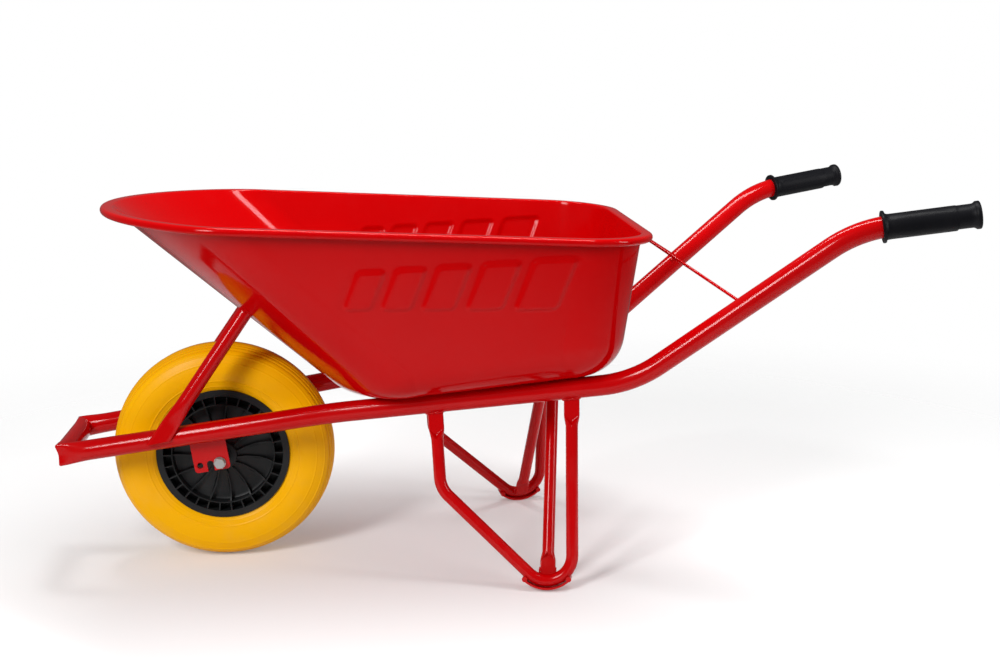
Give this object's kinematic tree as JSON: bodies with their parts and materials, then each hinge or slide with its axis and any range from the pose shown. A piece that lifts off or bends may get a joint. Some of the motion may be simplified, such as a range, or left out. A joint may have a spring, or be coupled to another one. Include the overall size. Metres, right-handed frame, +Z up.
{
  "type": "wheelbarrow",
  "caption": "Builder's wheelbarrow with a deep pressed steel tray, a bent tube frame with rubber grips, braced legs and a solid-tyred wheel that turns on its axle",
  "frame": {"origin": "on the ground under the middle of the barrow's bounding box", "axes": "+X towards the handles, +Y to the right of a person pushing, +Z up; the wheel is at -X"},
  "size_m": [1.4542, 0.7148, 0.6362],
  "materials": {
    "red_sheet": "gloss red powder coat on pressed sheet",
    "red_frame": "gloss red powder coat on welded tube",
    "yellow_tyre": "satin yellow foamed polyurethane",
    "black_plastic": "satin black moulded plastic",
    "black_rubber": "satin black moulded rubber",
    "black_nylon": "satin black nylon",
    "zinc": "bright zinc plate"
  },
  "bodies": {
    "root": {"axle_bolt": "zinc", "axle_bracket_left": "red_frame", "axle_bracket_right": "red_frame", "axle_nut": "zinc", "axle_spacer_left": "black_nylon", "axle_spacer_right": "black_nylon", "axle_tube": "zinc", "axle_washers": "zinc", "cross_bar_front": "red_frame", "cross_bar_rear": "red_frame", "foot_shoe_left": "red_frame", "foot_shoe_right": "red_frame", "front_strut_left": "red_frame", "front_strut_right": "red_frame", "grip_left": "black_rubber", "grip_right": "black_rubber", "leg_brace_left": "red_frame", "leg_brace_right": "red_frame", "leg_left": "red_frame", "leg_right": "red_frame", "nose_tube": "red_frame", "rail_left": "red_frame", "rail_right": "red_frame", "rear_stay": "red_frame", "tray": "red_sheet", "tray_bolts": "zinc", "tray_nuts": "zinc", "tray_washers": "zinc"},
    "wheel": {"tyre": "yellow_tyre", "rim_half_left": "black_plastic", "rim_half_right": "black_plastic", "hub_bush_left": "black_nylon", "hub_bush_right": "black_nylon"}
  },
  "joints": [
    {"name": "wheel_spin", "type": "hinge", "parent": "root", "child": "wheel", "pos_m": [-0.45425, 0, 0.188], "axis": [0, 1, 0], "continuous": true}
  ]
}
